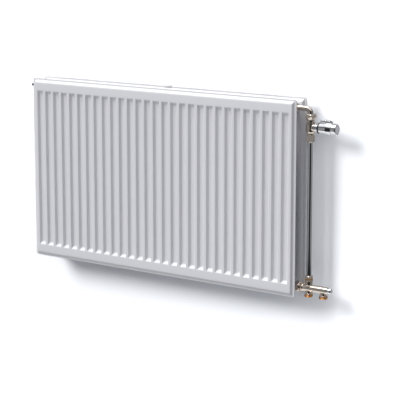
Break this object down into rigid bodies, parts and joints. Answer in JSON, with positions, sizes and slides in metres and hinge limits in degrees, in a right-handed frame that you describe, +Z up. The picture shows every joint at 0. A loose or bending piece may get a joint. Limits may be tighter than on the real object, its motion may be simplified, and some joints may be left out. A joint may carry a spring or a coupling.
{
  "type": "panel radiator with thermostatic valve",
  "caption": "Wall-hung double steel panel radiator with a thermostatic valve, riser and connection block at its right end.",
  "frame": {"origin": "on the wall plane, below the middle of the radiator, level with the bottom edge of its panels", "axes": "+X along the panels towards the valve set, -Y out of the wall towards the room, +Z up"},
  "size_m": [1.1516, 0.1105, 0.603],
  "materials": {
    "white_paint": "smooth satin white powder coat",
    "nickel_plate": "nickel-plated brass, warm and slightly soft",
    "chrome_plate": "bright chrome",
    "raw_brass": "machined, bare",
    "copper_tone": "machined, bare, reddish",
    "zinc_steel": "galvanised",
    "spring_steel": "drawn, bare",
    "black_plastic": "moulded, fine matt",
    "grey_plastic": "moulded, satin",
    "brown_plastic": "moulded, matt",
    "black_rubber": "moulded, matt",
    "window_plastic": "smoked, glossy"
  },
  "bodies": {
    "radiator": {"front_panel_front_sheet": "white_paint", "front_panel_back_sheet": "white_paint", "rear_panel_front_sheet": "white_paint", "rear_panel_back_sheet": "white_paint", "convector_fins": "white_paint", "port_tee_bottom_left": "white_paint", "port_tee_bottom_right": "white_paint", "port_tee_top_left": "white_paint", "port_tee_top_right": "white_paint", "vent_plug": "nickel_plate", "vent_plug_seal": "black_rubber", "blind_plug": "nickel_plate", "blind_plug_seal": "black_rubber", "seam_clip": "white_paint", "panel_spacer": "brown_plastic", "wall_bracket_left": "zinc_steel", "wall_bracket_right": "zinc_steel", "hanging_lug_bottom_left": "white_paint", "hanging_lug_top_left": "white_paint", "hanging_lug_bottom_right": "white_paint", "hanging_lug_top_right": "white_paint", "bracket_liner_bottom_left": "black_plastic", "bracket_liner_top_left": "black_plastic", "bracket_liner_bottom_right": "black_plastic", "bracket_liner_top_right": "black_plastic", "elbow_tail": "nickel_plate", "top_union_seal": "black_rubber", "top_union_nut": "nickel_plate", "valve_body": "nickel_plate", "valve_insert": "raw_brass", "return_spring": "spring_steel", "head_collar": "chrome_plate", "head_base_ring": "black_plastic", "head_sleeve": "chrome_plate", "scale_window": "window_plastic", "indicator_tab": "chrome_plate", "riser_tube": "chrome_plate", "upper_compression_nut": "nickel_plate", "upper_olive": "raw_brass", "lower_compression_nut": "nickel_plate", "lower_olive": "raw_brass", "block_tailpiece": "nickel_plate", "block_union_seal": "black_rubber", "block_union_nut": "nickel_plate", "block_body": "nickel_plate", "outlet_nipple_inner": "copper_tone", "outlet_nipple_outer": "copper_tone", "bypass_gland": "raw_brass", "block_end_cap": "chrome_plate"},
    "vent_screw": {"vent_screw": "black_plastic"},
    "setting_knob": {"setting_knob": "chrome_plate", "knob_end_disc": "grey_plastic"},
    "valve_pin": {"valve_pin": "spring_steel", "valve_disc": "black_rubber", "sensor_cartridge": "copper_tone"},
    "bypass_spindle": {"bypass_spindle": "raw_brass"},
    "bypass_plug": {"bypass_plug": "black_plastic"}
  },
  "joints": [
    {"name": "vent_turn", "type": "hinge", "parent": "radiator", "child": "vent_screw", "pos_m": [-0.52, -0.071, 0.573], "axis": [-1, 0, 0], "range_deg": [0, 360]},
    {"name": "knob_turn", "type": "hinge", "parent": "radiator", "child": "setting_knob", "pos_m": [0.61, -0.071, 0.517], "axis": [1, 0, 0], "range_deg": [-180, 120]},
    {"name": "pin_lift", "type": "slide", "parent": "radiator", "child": "valve_pin", "axis": [1, 0, 0], "range_m": [-0.0016, 0.0011]},
    {"name": "bypass_turn", "type": "hinge", "parent": "radiator", "child": "bypass_spindle", "pos_m": [0.58, -0.071, 0.027], "axis": [1, 0, 0], "range_deg": [-1080, 0]},
    {"name": "bypass_lift", "type": "slide", "parent": "radiator", "child": "bypass_plug", "axis": [1, 0, 0], "range_m": [-0.003, 0]}
  ],
  "couplings": [
    {"joint": "pin_lift", "follows": "knob_turn", "m_per_rad": 0.00048},
    {"joint": "bypass_lift", "follows": "bypass_turn", "m_per_rad": 0.000159}
  ]
}
